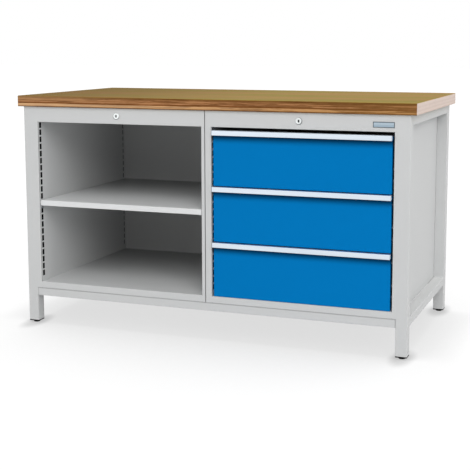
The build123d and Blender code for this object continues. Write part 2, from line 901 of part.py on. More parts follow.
def runner_centre(number):
    """Height of a drawer's runners."""
    return drawer_base(number) + tray_lift + runner_height_in_tray


def channel(web_x, tip_x, centre_z, height, back_y, lip=0):
    """Rolled channel along Y, from its back end to the runners' front: web, flanges and inward lips."""
    opens = 1 if tip_x > web_x else -1
    depth = abs(tip_x - web_x)
    middle = (web_x + tip_x) / 2
    with BuildPart() as rail:
        with BuildSketch(facing_front(0, back_y, centre_z)):
            with Locations((middle, 0)):
                Rectangle(depth, height)
            with Locations((middle + opens * runner_sheet / 2, 0)):
                Rectangle(depth - runner_sheet, height - 2 * runner_sheet, mode=Mode.SUBTRACT)
            if lip:
                lip_x = tip_x - opens * runner_sheet / 2
                lip_z = height / 2 - runner_sheet - lip / 2
                with Locations((lip_x, -lip_z), (lip_x, lip_z)):
                    Rectangle(runner_sheet, lip)
        extrude(amount=back_y - runner_front)
    return rail.part


def build_cabinet_rails():
    """Outer rails on the cabinet walls, closed at the back by a stop for the moving rails."""
    channels = []
    stops = []
    for number in range(1, drawer_count + 1):
        centre = runner_centre(number)
        for wall_x, inward in runner_walls:
            tip_x = wall_x + inward * cabinet_rail_depth
            channels.append(channel(wall_x, tip_x, centre, runner_height, cabinet_rail_back, runner_lip))
            stops.append(((wall_x + tip_x) / 2, centre))
    with BuildPart() as rails:
        add(channels)
        with BuildSketch(facing_front(0, cabinet_rail_back, 0)):
            with Locations(*stops):
                Rectangle(cabinet_rail_depth, runner_height)
        extrude(amount=runner_sheet)
    save(rails.part, "cabinet_rails")


def build_moving_rails(number):
    """The middle and drawer rails of one drawer, left and right."""
    centre = runner_centre(number)
    for name, web, tip, height in (
        ("middle_rails", mid_web, mid_tip, mid_height),
        ("drawer_rails", runner_space, drawer_tip, drawer_rail_height),
    ):
        channels = [
            channel(wall_x + inward * web, wall_x + inward * tip, centre, height, moving_rail_back)
            for wall_x, inward in runner_walls
        ]
        with BuildPart() as rails:
            add(channels)
        save(rails.part, f"{name}_{number}")


# ---------------------------------------------------------------- plate


def build_plate():
    """Small bare plate on the right fascia, with a raised rim."""
    centre_x = right_opening[1] - plate_side_gap - plate_width / 2
    with BuildPart() as plate:
        with BuildSketch(facing_front(centre_x, front, plate_level)):
            Rectangle(plate_width, plate_height)
        extrude(amount=plate_thickness)
        with BuildSketch(facing_front(centre_x, front - plate_thickness, plate_level)):
            Rectangle(plate_width - 2 * plate_rim, plate_height - 2 * plate_rim)
        extrude(amount=-plate_recess, mode=Mode.SUBTRACT)
    save(plate.part, "fascia_plate")


# ---------------------------------------------------------------- build everything

build_worktop()
build_worktop_screws()
build_legs()
build_rails()
build_leg_caps()
build_feet()
build_cabinets()
build_cabinet_bolts()
build_shelf()
build_shelf_clips()
build_lock_barrels()
build_lock_nuts()
build_lock_plug("left_lock_plug", -lock_offset)
build_lock_plug("right_lock_plug", lock_offset)
build_lock_cam()
build_lock_rod()
build_lock_bar()
build_lock_hooks()
build_lock_brackets()
build_cabinet_rails()
build_plate()
for drawer_number in range(1, drawer_count + 1):
    build_front(drawer_number)
    build_grip(drawer_number)
    build_tray(drawer_number)
    build_catch(drawer_number)
    build_moving_rails(drawer_number)
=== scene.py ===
# %% [markdown]
# # A steel workbench with drawers
#
# The bench has a welded frame of square tube, two double-walled cabinets, a
# thick plywood top and three blue drawers that one key locks. Its hard parts
# come ready made from the packed model: metres, the floor at z = 0, the front
# towards -Y and the drawers towards +X. What is left for Blender is how the
# bench looks: its paint, wood and plating, and the small parts that are too
# fine to be worth a solid of their own.

# %% Load the bench
import json
import math

import bmesh
import bpy
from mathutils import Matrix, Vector


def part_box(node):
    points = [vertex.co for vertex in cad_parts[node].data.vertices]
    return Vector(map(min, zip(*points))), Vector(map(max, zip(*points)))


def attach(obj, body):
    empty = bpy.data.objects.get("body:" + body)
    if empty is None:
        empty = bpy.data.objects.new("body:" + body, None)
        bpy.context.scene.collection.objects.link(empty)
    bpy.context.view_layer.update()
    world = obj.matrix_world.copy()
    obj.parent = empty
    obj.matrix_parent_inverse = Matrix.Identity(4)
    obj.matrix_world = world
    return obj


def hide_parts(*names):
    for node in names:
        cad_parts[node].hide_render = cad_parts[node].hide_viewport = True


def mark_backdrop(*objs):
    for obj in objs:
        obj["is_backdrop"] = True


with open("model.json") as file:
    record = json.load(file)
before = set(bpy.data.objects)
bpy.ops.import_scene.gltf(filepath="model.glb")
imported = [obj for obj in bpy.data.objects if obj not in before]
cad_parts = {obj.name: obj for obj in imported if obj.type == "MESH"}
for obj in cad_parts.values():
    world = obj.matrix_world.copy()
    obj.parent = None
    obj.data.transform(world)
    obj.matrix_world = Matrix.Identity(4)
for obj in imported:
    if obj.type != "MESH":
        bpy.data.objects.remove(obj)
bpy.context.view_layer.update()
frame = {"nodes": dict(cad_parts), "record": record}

nodes = frame["nodes"]

# %% [markdown]
# ## The viewpoint
#
# The bench is seen from its right-hand front corner, a little above the
# worktop. A short lens close by would splay the upright edges; a long lens
# from far off keeps them nearly parallel, as in a catalogue. The camera
# turns about Z first and then tips down, so its Euler angles are the tilt and
# the turn, with no roll. The lens is shifted, as a view camera's is, which
# moves the bench a little above the middle without tipping it any more.

# %% The camera
viewpoint = (1.4297, -3.7672, 1.0584)
turn, tilt = 0.3498, 0.1326  # radians
lens_length, film_width = 80.81, 36  # millimetres
lens_shift = (-0.0428, -0.109)  # shares of the film's width

camera_data = bpy.data.cameras.new("studio_camera")
camera_data.sensor_width = film_width
camera_data.lens = lens_length
camera_data.shift_x, camera_data.shift_y = lens_shift
camera = bpy.data.objects.new("studio_camera", camera_data)
camera.location = viewpoint
camera.rotation_euler = (math.pi / 2 - tilt, 0, turn)
bpy.context.scene.collection.objects.link(camera)
bpy.context.scene.camera = camera
print("camera", tuple(camera.location))

# %% [markdown]
# ## Sums on node sockets
#
# A finish is a small sum: a colour, plus a little of one noise, less a little
# of another. Written as nodes, a sum of five terms is ten calls. This class
# holds one output socket and gives it Python's operators, so the sum is
# written as it is thought. Every other node comes from its one method, which
# makes the settings first, because some of them change the sockets.

# %% A wire that can be added up
class Wire:
    """One output of a shader node. An expression on it adds Math nodes."""

    def __init__(self, tree, socket=None):
        self.tree = tree
        self.socket = socket

    def node(self, kind, settings=None, sockets=None, out=0):
        """Adds a node, gives it its settings and sockets, and returns one output."""
        made = self.tree.nodes.new("ShaderNode" + kind)
        for name, value in (settings or {}).items():
            if name == "stops":
                ramp = made.color_ramp
                ramp.elements[0].position, ramp.elements[0].color = value[0]
                ramp.elements[1].position, ramp.elements[1].color = value[-1]
                for place, colour in value[1:-1]:
                    ramp.elements.new(place).color = colour
            else:
                setattr(made, name, value)
        for name, value in (sockets or {}).items():
            if isinstance(value, Wire):
                self.tree.links.new(value.socket, made.inputs[name])
            else:
                made.inputs[name].default_value = value
        return Wire(self.tree, made.outputs[out])

    def also(self, name):
        """Another output of the node that this wire comes from."""
        return Wire(self.tree, self.socket.node.outputs[name])

    def math(self, operation, *values):
        return self.node("Math", {"operation": operation}, dict(enumerate(values)))

    def __add__(self, other):
        return self.math("ADD", self, other)

    def __radd__(self, other):
        return self.math("ADD", other, self)

    def __sub__(self, other):
        return self.math("SUBTRACT", self, other)

    def __rsub__(self, other):
        return self.math("SUBTRACT", other, self)

    def __mul__(self, other):
        return self.math("MULTIPLY", self, other)

    def __rmul__(self, other):
        return self.math("MULTIPLY", other, self)

    def __truediv__(self, other):
        return self.math("DIVIDE", self, other)

    def __rtruediv__(self, other):
        return self.math("DIVIDE", other, self)


print("operators", [name for name in vars(Wire) if name.startswith("__r")])

# %% [markdown]
# ## Colours
#
# Paint is chosen from 0 to 255 on a screen, while a shader works with
# the light itself, where half as bright to the eye is only a fifth of the
# light. Turning each colour by hand would hide what it looks like, so one
# function does it, and every colour below is written as it is seen.

# %% Colours as they are seen
def seen(red, green, blue):
    """A colour as a screen shows it, as the light values that a shader takes."""
    def light(value):
        value = value / 255
        return value / 12.92 if value <= 0.04045 else ((value + 0.055) / 1.055) ** 2.4
    return (light(red), light(green), light(blue), 1.0)


grey_colour = seen(200, 201, 201)
blue_colour = seen(0, 116, 184)
print("grey", grey_colour, "blue", blue_colour)

# %% [markdown]
# ## Starting a finish
#
# Every finish is one principled shader. A value that changes over the surface
# is linked to its socket, and a value that is the same everywhere is set on
# the socket itself, where it stays plain to read and cheap to render.

# %% Start and feed a shader
def feed(shader, **values):
    """Links wires to the shader's sockets; a plain value is set on the socket."""
    for name, value in values.items():
        socket = shader.inputs[name.replace("_", " ")]
        if isinstance(value, Wire):
            value.tree.links.new(value.socket, socket)
        else:
            socket.default_value = value


def new_finish(name, specular=0.5):
    """A new material, its shader, and the place of a point, which every finish builds on."""
    material = bpy.data.materials.new(name)
    material.use_nodes = True
    shader = material.node_tree.nodes["Principled BSDF"]
    feed(shader, Specular_IOR_Level=specular)
    return material, shader, Wire(material.node_tree).node("TexCoord", out="Object")


print("helpers", feed.__name__, new_finish.__name__)

# %% [markdown]
# ## Grain, steps and mixtures
#
# A wrapped picture would show its seams and blur close up. A noise that is
# worked out from the place of a point, in metres, has neither, so a grain has
# its real size and stays on the piece when that moves. Stretching the place
# before it goes into the noise gives streaks. A step turns a slow change into
# an edge as soft as it needs to be.

# %% Noise, steps and mixtures
def noise(place, per_metre=1.0, detail=2, roughness=0.5, stretch=None):
    """A noise from 0 to 1 with so many grains to the metre, or so many along each axis."""
    if stretch:
        place = place.node("VectorMath", {"operation": "MULTIPLY"}, {0: place, 1: stretch})
    return place.node("TexNoise", {}, {"Vector": place, "Scale": per_metre, "Detail": detail,
                                       "Roughness": roughness}, out="Fac")


def step(value, start, end):
    """0 at the start and 1 at the end, smooth between them, whichever is the larger."""
    return value.node("MapRange", {"interpolation_type": "SMOOTHSTEP"},
                      {"Value": value, "From Min": start, "From Max": end})


def mix(share, first, second, how="MIX"):
    """A colour between two colours, or one laid over the other."""
    wire = next(value for value in (share, first, second) if isinstance(value, Wire))
    return wire.node("Mix", {"data_type": "RGBA", "blend_type": how},
                     {0: share, 6: first, 7: second}, out=2)


def grey(value):
    """A number as a colour."""
    return value.node("CombineColor", {}, {0: value, 1: value, 2: value})


print("helpers", [f.__name__ for f in (noise, step, mix, grey)])

# %% [markdown]
# ## Where a point is
#
# Many marks on a bench belong to a place: the steel inside a wall, the rim of
# a plate, the shade under a grip. They could be painted on, but a paint layer
# needs an unwrapped mesh. Reading a point's own coordinates needs nothing, and
# the boxes of the packed model say where each mark begins.

# %% Coordinates and depths
def coordinate(place, axis):
    """How far along X, Y or Z a point lies, in metres."""
    return place.node("SeparateXYZ", {}, {"Vector": place}, out=axis)


def distance_from(place, axis, plane):
    """How far a point lies from a plane across an axis, on either side."""
    return place.math("ABSOLUTE", coordinate(place, axis) - plane)


def depth_inside(place, low, high, axes):
    """How far a point lies inside a box, across the nearest side along some axes."""
    nearest = None
    for axis in axes:
        there = coordinate(place, axis)
        k = "XYZ".index(axis)
        for gap in (there - low[k], high[k] - there):
            nearest = gap if nearest is None else place.math("MINIMUM", nearest, gap)
    return nearest


print("helpers", [f.__name__ for f in (coordinate, distance_from, depth_inside)])

# %% [markdown]
# ## Soft edges and small relief
#
# No real edge is a knife edge, and a rounded one catches a line of light.
# Rounding every edge of the mesh would cost thousands of faces, so the normal
# is rounded instead, over about a millimetre. Where it differs from the true
# normal there is a corner, which the paint, wood and metal finishes below paint
# lighter as a painted highlight. A grain finer than a hair is a bump on top of that.

# %% Rounded normals and bumps
corner_turn = (0.02, 0.25)  # 1 less the cosine of the normal's turn: none, and a full corner


def soft_edge(place, radius):
    """The normal rounded over a radius, and a mask that is 1 at sharp corners."""
    rounded = place.node("Bevel", {"samples": 6}, {"Radius": radius})
    true = place.node("NewGeometry", out="Normal")
    same = place.node("VectorMath", {"operation": "DOT_PRODUCT"}, {0: rounded, 1: true},
                      out="Value")
    return rounded, step(1 - same, *corner_turn)


def bump(height, depth, **normal):
    """A normal that follows a height of so many metres, over a given normal if there is one."""
    return height.node("Bump", {}, {"Height": height, "Distance": depth, "Strength": 1.0,
                                    **normal})


print("helpers", soft_edge.__name__, bump.__name__, "corners", corner_turn)

# %% [markdown]
# ## Powder coat
#
# The sheet and tube are powder coated: a dry paint is sprayed on and melted in
# an oven. The grey is a fine-textured grade whose skin is all tiny beads, and
# the blue of the drawer fronts is a smoother satin. Beads could be real bumps
# in the mesh, but there are millions of them, so one noise at about their size
# makes the relief and the gloss. A slow drift of tone, which no baked coat is
# free of, and a painted highlight along the corners do the rest.
#
# A coat takes a list of painted shades. Each is a rule that says how much of the
# tone is left at a place, and the cells that follow write them one at a time.

# %% Powder coat
fine_texture = {"bead": 0.0011, "depth": 0.00004, "roughness": 0.45, "specular": 0.2}
satin = {"bead": 0.0016, "depth": 0.00002, "roughness": 0.38, "specular": 0.02}
drift_grain, speck_grain = 2.3, 1400  # to the metre
base_tone, drift_share, speck_share, corner_highlight = 0.975, 0.035, 0.014, 0.05
bead_gloss, dark_gloss = 0.14, 0.3
film_edge = 0.0012
top_light_slope = (0.5, 0.8)  # how far up a face looks: where the painted top light starts, where it is full


def powder_coat(name, colour, grade, shades=(), painted_top_light=None, painted_dark=None, soft=True):
    """Baked paint with beads, a painted corner highlight, painted shades by place, and painted
    light or shade in places.
    """
    material, shader, place = new_finish(name, grade["specular"])
    drift = noise(place, drift_grain, detail=3)
    beads = noise(place, 1 / grade["bead"], roughness=0.6)
    value = base_tone + drift * drift_share
    value = value + noise(place, speck_grain, detail=1) * speck_share
    normal = {}
    if soft:
        rounded, corner = soft_edge(place, film_edge)
        # a painted highlight: the corners a little lighter
        value = value + corner * corner_highlight
        normal = {"Normal": rounded}
    tone = mix(1.0, colour, grey(value), "MULTIPLY")
    rough = grade["roughness"] + beads * bead_gloss
    for shade in shades:
        tone = mix(1.0, tone, grey(shade(place)), "MULTIPLY")
    # painted light: faces that look upwards turn a paler grey
    if painted_top_light:
        upward = coordinate(place.also("Normal"), "Z")
        tone = mix(step(upward, *top_light_slope), tone, mix(drift, painted_top_light, colour))
    # painted shade: near-black inside the walls and round the slots, and glossier
    if painted_dark:
        dark_share = painted_dark(place)
        tone = mix(dark_share, tone, mix(drift, seen(8, 9, 10), seen(16, 17, 18)))
        rough = rough + dark_share * dark_gloss
    feed(shader, Base_Color=tone, Roughness=rough,
         Normal=bump(beads, grade["depth"], **normal))
    return material


grey_coat = powder_coat("grey_powder_coat", grey_colour, fine_texture)
filler_coat = powder_coat("filler_powder_coat", grey_colour, fine_texture, soft=False)
print("coats", grey_coat.name, filler_coat.name)

# %% [markdown]
# ## The blue fronts
#
# A grip stands out over each drawer front and keeps the soft light off the
# strip below it. Rendered light alone gives only a weak shade there, because
# the lamps are broad and in front. So a painted shade darkens the coat most at
# the grip and clears over a few centimetres. The three fronts are alike and
# evenly spaced, so one rule that repeats with their pitch serves them all.

# %% Painted shade under the grips
shade_length = 0.032
shade_floor = 0.2  # what is left of the tone right under a grip
grip_joint = 0.0005  # above the grip's foot the front is clear again
lowest_front, next_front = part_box("drawer_front_3"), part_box("drawer_front_2")
front_foot = lowest_front[0][2]
front_pitch = next_front[0][2] - front_foot
grip_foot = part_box("drawer_grip_3")[0][2] - front_foot


def painted_shade_under_grips(place):
    """What the painted shade leaves of the tone on a drawer front, by how far a point is below its
    grip.
    """
    below = grip_foot - place.math("MODULO", coordinate(place, "Z") - front_foot, front_pitch)
    clear = place.math("MAXIMUM", step(below, 0, shade_length), step(below, 0, -grip_joint))
    return shade_floor + (1 - shade_floor) * clear


blue_coat = powder_coat("blue_powder_coat", blue_colour, satin, shades=[painted_shade_under_grips])
print("fronts every", round(front_pitch, 4), "coat", blue_coat.name)

# %% [markdown]
# ## Deep in the open cabinet
#
# The light of a room fades from the mouth of a cabinet towards the back and
# makes the far corners much darker than lamps in front of a bench can leave
# them. So the coat is painted darker towards the rear, as painted shade, and a
# little lighter at the mouth, as painted light. The rule works only on the skin
# that faces the inside, to a hair behind it, so the cabinet's outer sides keep
# the full coat. Each piece takes its own share of painted shade at the rear.

# %% Painted shade in the open cabinet
mouth_painted_light = 0.1  # share of the tone that is gained at the mouth
sheet_near, sheet_far = -0.0004, -0.0009  # how far behind the inner skin the shade ends
back_near, back_far = 0.0003, 0.0007  # the same behind the skin of the back panel
left_wall, right_wall, cabinet_floor, cabinet_top = (
    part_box("left_cabinet_" + piece) for piece in ("left_wall", "right_wall", "floor", "top"))
bay_low = (left_wall[1][0], cabinet_floor[0][1], cabinet_floor[1][2])
bay_high = (right_wall[0][0], cabinet_floor[1][1], cabinet_top[0][2])
shelf_rear_shade = 0.56  # share of the tone that the shelf loses at the rear


def painted_bay_shade(rear_shade_share):
    """A painted shade from the cabinet's mouth to its rear, by a share of the tone, with painted
    light at the mouth.
    """
    def shade(place):
        deep = coordinate(place, "Y")
        skin = step(depth_inside(place, bay_low, bay_high, "XZ"), sheet_far, sheet_near)
        skin = skin * step(deep, bay_high[1] + back_far, bay_high[1] + back_near)
        inward = step(deep, bay_low[1], bay_high[1])
        return 1 + skin * (mouth_painted_light - (rear_shade_share + mouth_painted_light) * inward)
    return shade


# the shelf's grey is painted a little lighter than the frame's, as painted light
shelf_coat = powder_coat("shelf_powder_coat", seen(211, 212, 212), fine_texture,
                         shades=[painted_bay_shade(shelf_rear_shade)])
print("open bay", [round(v, 4) for v in bay_low], [round(v, 4) for v in bay_high])

# %% [markdown]
# ## Creases
#
# Where two painted parts meet, a fine dark line runs between them. The real
# gap is there in the mesh, but it is a fraction of a millimetre wide and gets
# lost from a few metres away. A crease darkens the last few millimetres of
# coat beside the gap, a painted shade that stands for the shadow in the gap.

# %% Shade along a joint
crease_core = 0.4  # share of the reach that is fully dark


def crease(axis, plane, reach, strength):
    """A painted shade beside a plane, by a share of the tone, that ends at some reach."""
    def shade(place):
        away = distance_from(place, axis, plane)
        return 1 - strength * step(away, reach, crease_core * reach)
    return shade


joint = (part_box("left_cabinet_right_wall")[1][0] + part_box("right_cabinet_left_wall")[0][0]) / 2
joint_crease = crease("X", joint, reach=0.0024, strength=0.5)
rail_low, rail_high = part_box("front_rail")
rail_creases = [crease("Z", rail_high[2], reach=0.0045, strength=0.32)]
rail_creases += [crease("X", end[0], reach=0.004, strength=0.25) for end in (rail_low, rail_high)]
rail_coat = powder_coat("rail_coat", grey_colour, fine_texture, shades=rail_creases)
# the ledges' upward faces are painted lighter, as painted light from above
ledge_coat = powder_coat("ledge_coat", grey_colour, fine_texture, painted_top_light=seen(226, 227, 226))
print("the cabinets meet at", round(joint, 5))

# %% [markdown]
# ## Painted shade inside the walls
#
# Spray does not get inside a closed double wall, and little light does, so
# through its slots one sees shade. A second material on the inner faces would
# need them picked out by hand. Instead the coat turns near-black, a painted
# shade, and a little glossier wherever a point lies under the wall's surface.
# Round the open cabinet's front slots a narrow painted shade keeps them crisp
# from afar: the slot's outline, a little enlarged and repeated with the slots'
# pitch.

# %% Painted shade inside a wall and round its slots
under_skin = (0.00008, 0.00016)  # how deep the coat ends, and how deep the painted shade is full
slot_size, slot_pitch, slot_shade_rim = (0.011, 0.0186), 0.0267, 0.0013
from_front, from_foot, from_top = 0.0141, 0.0553, 0.07  # of a wall, to its front slots
row_end = 0.012  # past the middle of the first and last slot, no painted shade
slot_shade_fade = (1.3, 0.7)  # shares of the slot shade rim where it starts to show, and where it is full
slot_line = left_wall[0][1] + from_front
first_slot, last_slot = left_wall[0][2] + from_foot, left_wall[1][2] - from_top


def shade_inside_wall(box):
    """A mask of the painted shade inside a double wall."""
    return lambda place: step(depth_inside(place, *box, "XY"), *under_skin)


def shade_inside_and_round_slots(box):
    """A mask of that painted shade and of the painted shade round the front slots."""
    def mask(place):
        rise = coordinate(place, "Z")
        across = distance_from(place, "Y", slot_line) - slot_size[0] / 2
        repeat = place.math("MODULO", rise - (first_slot - slot_pitch / 2), slot_pitch)
        upright = place.math("ABSOLUTE", repeat - slot_pitch / 2) - slot_size[1] / 2
        past = place.math("MAXIMUM", first_slot - row_end - rise, rise - (last_slot + row_end))
        off = place.math("MAXIMUM", place.math("MAXIMUM", across, upright), past)
        slot_shade = step(off, *(share * slot_shade_rim for share in slot_shade_fade))
        return place.math("MAXIMUM", shade_inside_wall(box)(place), slot_shade)
    return mask


print("slots from", round(first_slot, 4), "to", round(last_slot, 4))

# %% [markdown]
# ## Plywood faces
#
# The top is thick hardwood plywood under a thin coat of oil. Its faces show
# long grain that runs along the bench, in soft olive and tan patches that are
# browner towards the left. An image of a board would repeat on a top this
# long, so three noises stretched along X draw it: broad patches, streaks, and
# pores about a centimetre long and less than a millimetre wide.

# %% Face veneer
def face_veneer(place, low):
    """The colour of the faces, with the streaks and pores that also make their relief."""
    patch = noise(place, detail=3, stretch=(1.4, 9, 9))
    streak = noise(place, detail=4, roughness=0.6, stretch=(3, 90, 90))
    pore = noise(place, stretch=(90, 1400, 1400))
    leftward = step(coordinate(place, "X"), 0.25, low[0])
    tone = mix(step(patch, 0.38, 0.62), seen(160, 143, 68), seen(178, 141, 82))
    tone = mix(step(streak, 0.45, 0.75) * 0.5, tone, seen(140, 112, 64))
    tone = mix(step(pore, 0.58, 0.75) * 0.45, tone, seen(118, 92, 54))
    return mix(leftward * 0.62, tone, seen(112, 80, 26)), streak, pore


print("helper", face_veneer.__name__)

# %% [markdown]
# ## Plywood edges
#
# A long edge shows the plies as dark and light bands of different thickness:
# plies with the grain look light and clean, and plies across it dark and
# rough. Real layers would be many thin solids, and a ramp over the height
# gives the same bands. The height wanders a little on the way, because veneer
# is never quite even, and dark fibres break the bands up. The tone shifts
# along the edge: pale at the lower left, brown at the right.

# %% Plies on the long edges
edge_plies = [
    (0.00, seen(96, 62, 32)), (0.06, seen(112, 74, 42)), (0.11, seen(184, 136, 86)),
    (0.30, seen(198, 150, 99)), (0.35, seen(122, 74, 36)), (0.41, seen(128, 78, 42)),
    (0.48, seen(182, 132, 90)), (0.60, seen(152, 104, 64)), (0.70, seen(176, 126, 84)),
    (0.84, seen(134, 92, 52)), (0.93, seen(126, 88, 46)), (1.00, seen(134, 100, 52))]


def ply_edge(place, height, ply, low, high):
    """The colour of the front and rear edges."""
    run = coordinate(place, "X")
    fibre = noise(place, detail=4, roughness=0.62, stretch=(8, 60, 190))
    line = noise(place, detail=3, roughness=0.6, stretch=(14, 60, 420))
    fleck = noise(place, roughness=0.6, stretch=(60, 900, 1600))
    tone = ply.node("ValToRGB", {"stops": edge_plies}, {"Fac": ply})
    lower_band = step(height, 0.34, 0.27) * step(height, 0.04, 0.10)
    for share, colour in (
            (step(fibre, 0.46, 0.58) * 0.72, seen(94, 56, 22)),
            (step(line, 0.5, 0.66) * 0.55, seen(92, 50, 20)),
            (step(fleck, 0.5, 0.8) * 0.3, seen(180, 132, 88)),
            (step(run, -0.2, low[0]) * step(height, 0.45, 0.8) * 0.42, seen(178, 142, 100)),
            (step(run, 0.6, low[0]) * lower_band * 0.62, seen(214, 174, 134)),
            (step(run, -0.1, high[0]) * step(height, 0.68, 0.88) * 0.6, seen(84, 50, 22)),
            (step(run, 0.2, high[0]) * 0.34, seen(134, 96, 46))):
        tone = mix(share, tone, colour)
    return tone


print("edge bands", len(edge_plies))

# %% [markdown]
# ## Plywood ends
#
# The sawn ends are paler, because end grain that has been cut dry scatters the
# light. The saw leaves fine upright marks and the plies show only faintly, so
# half of the colour is a noise stretched upright and half is a gentler ramp.

# %% Sawn ends
end_plies = [
    (0.00, seen(202, 182, 168)), (0.2, seen(222, 206, 196)), (0.3, seen(204, 186, 176)),
    (0.5, seen(220, 204, 196)), (0.62, seen(206, 188, 178)), (0.8, seen(222, 207, 199)),
    (0.95, seen(216, 198, 184)), (1.00, seen(224, 208, 176))]


def sawn_end(place, ply):
    """The colour of the two ends."""
    saw = noise(place, detail=3, roughness=0.6, stretch=(60, 260, 30))
    tone = mix(step(saw, 0.35, 0.7), seen(222, 206, 197), seen(210, 191, 180))
    return mix(0.5, tone, ply.node("ValToRGB", {"stops": end_plies}, {"Fac": ply}))


print("end bands", len(end_plies))

# %% [markdown]
# ## The whole top
#
# Three materials on one board would need its faces sorted. One material does
# it by the direction that a point faces: up or down takes the veneer, left or
# right the sawn end, and the rest the plies. The handled edges are rubbed
# pale and carry a painted highlight, and streaks and pores are felt as well as seen.

# %% Plywood
def plywood(low, high):
    material, shader, place = new_finish("oiled_plywood", specular=0.03)
    facing = place.also("Normal")
    endways, upright = (step(place.math("ABSOLUTE", coordinate(facing, axis)), 0.4, 0.6)
                        for axis in "XZ")
    height = (coordinate(place, "Z") - low[2]) / (high[2] - low[2])
    wander = noise(place, detail=3, roughness=0.55, stretch=(2.4, 30, 30))
    ply = height + (wander - 0.5) * 0.09
    veneer, streak, pore = face_veneer(place, low)
    sides = mix(endways, ply_edge(place, height, ply, low, high), sawn_end(place, ply))
    tone = mix(upright, sides, veneer)
    rounded, corner = soft_edge(place, radius=0.0015)
    # the corners: rubbed pale, and a painted highlight
    feed(shader, Base_Color=mix(corner * 0.15, tone, seen(186, 154, 104)),
         Roughness=0.58 + pore * 0.12,
         Normal=bump(streak * 0.4 + pore * 0.6, depth=0.00012, Normal=rounded))
    return material


plywood_finish = plywood(*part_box("worktop"))
print("finish", plywood_finish.name)

# %% [markdown]
# ## Anodised grips
#
# The grips are extruded aluminium. The die leaves fine lines along the whole
# length, and the matt anodised skin turns them into a sheen. The arrises get a
# painted highlight. Lines a millimetre apart and less are a bump and a change
# of gloss, since no mesh could carry them.

# %% Anodised aluminium
def anodised(name, light, dark, lines_across):
    material, shader, place = new_finish(name)
    lines = noise(place, detail=3, roughness=0.6, stretch=lines_across)
    cloud = noise(place, per_metre=9)
    rounded, corner = soft_edge(place, radius=0.0008)
    tone = mix(step(lines, 0.3, 0.7) * 0.5 + cloud * 0.2, light, dark)
    # a painted highlight along the arrises
    feed(shader, Base_Color=mix(corner * 0.2, tone, seen(244, 247, 252)), Metallic=1.0,
         Roughness=0.36 + lines * 0.12, Normal=bump(lines, depth=0.00001, Normal=rounded))
    return material


aluminium_finish = anodised("anodised_aluminium", seen(216, 225, 234), seen(194, 203, 213),
                            lines_across=(4, 700, 700))
print("finish", aluminium_finish.name)

# %% [markdown]
# ## Plated steel
#
# The runners, rails and fittings are zinc plated, which leaves faint cloudy
# crystals, and the lock plugs are satin nickel, whose grain is much finer.
# Crystals are cells with a flat shade each, and a cell texture makes just
# that; only their size and gloss set the two platings apart. Both get a painted
# highlight along their edges.

# %% Zinc and nickel
def plated(name, light, dark, crystals, roughness):
    material, shader, place = new_finish(name)
    cells = place.node("TexVoronoi", {}, {"Vector": place, "Scale": crystals}, out="Color")
    facet = cells.node("SeparateColor", {}, {"Color": cells})
    cloud = noise(place, per_metre=25, detail=3)
    rounded, corner = soft_edge(place, radius=0.0005)
    tone = mix(facet * 0.5 + cloud * 0.3, light, dark)
    # a painted highlight along the edges
    feed(shader, Base_Color=mix(corner * 0.4, tone, seen(245, 245, 245)), Metallic=1.0,
         Roughness=roughness + facet * 0.08 + cloud * 0.08,
         Normal=bump(cloud, depth=0.00002, Normal=rounded))
    return material


zinc_finish = plated("zinc_plate", seen(196, 200, 204), seen(168, 173, 178),
                     crystals=260, roughness=0.3)
nickel_finish = plated("satin_nickel", seen(214, 218, 218), seen(200, 204, 204),
                       crystals=900, roughness=0.38)
print("finishes", zinc_finish.name, nickel_finish.name)

# %% [markdown]
# ## Lock rings
#
# What shows of a lock barrel is a turned ring: a bright face, circular tool
# marks, and an edge that rolls away, painted dark as a painted shade. Real
# grooves would be too fine to render, so the distance from the barrel's axis
# drives both the marks and the painted shade. The face sits a hair off centre,
# up and towards the middle of the bench, so the painted shade is widest below
# and towards the bench's end. The two locks mirror each other, so one rule
# finds both.

# %% Lock rings
mark_grain = 3000  # tool marks to the metre
# how far the face moves up and towards the middle of the bench, for a lopsided painted shade
shade_offset = 0.0007
painted_rim_shade = (0.0014, 0.0006)  # from the outline: where the face ends, where the edge is full


def lock_ring(low, high):
    material, shader, place = new_finish("nickel_lock_ring")
    radius = (high[2] - low[2]) / 2
    across = distance_from(place, "X", 0) - (high[0] - radius) + shade_offset
    rise = coordinate(place, "Z") - (low[2] + radius) - shade_offset
    out = place.math("SQRT", across * across + rise * rise)
    cloud = noise(place, per_metre=60, detail=3)
    marks = noise(place.node("CombineXYZ", {}, {"X": out * mark_grain}))
    face = mix(cloud * 0.5 + marks * 0.4, seen(226, 230, 229), seen(208, 212, 212))
    rim = step(out, *(radius - inset for inset in painted_rim_shade))
    rounded, _ = soft_edge(place, radius=0.0004)
    # the rim is painted dark, a painted shade
    feed(shader, Base_Color=mix(rim, face, seen(112, 115, 118)), Metallic=1.0,
         Roughness=0.34 + cloud * 0.08 + rim * 0.2,
         Normal=bump(marks, depth=0.00001, Normal=rounded))
    return material


ring_finish = lock_ring(*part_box("lock_barrels"))
print("finish", ring_finish.name)

# %% [markdown]
# ## Moulded plastic
#
# The feet, the leg caps and the key shutters are black plastic. Its mould is
# eroded with sparks, which gives a fine even grain, and use scuffs it to a
# greyer black at the corners and in patches. Both are noises, one fine and
# regular for the bump, one coarse and cut off by a step for the scuffs.

# %% Black moulding
def moulded(name, colour, worn):
    material, shader, place = new_finish(name, specular=0.1)
    grain = noise(place, per_metre=1900, roughness=0.6)
    scuff = noise(place, per_metre=60, detail=4, roughness=0.7)
    rounded, corner = soft_edge(place, radius=0.0008)
    feed(shader, Base_Color=mix(step(scuff, 0.55, 0.8) * 0.3 + corner * 0.15, colour, worn),
         Roughness=0.5 + grain * 0.2, Normal=bump(grain, depth=0.00004, Normal=rounded))
    return material


plastic_finish = moulded("black_moulding", seen(10, 10, 11), seen(44, 44, 46))
print("finish", plastic_finish.name)

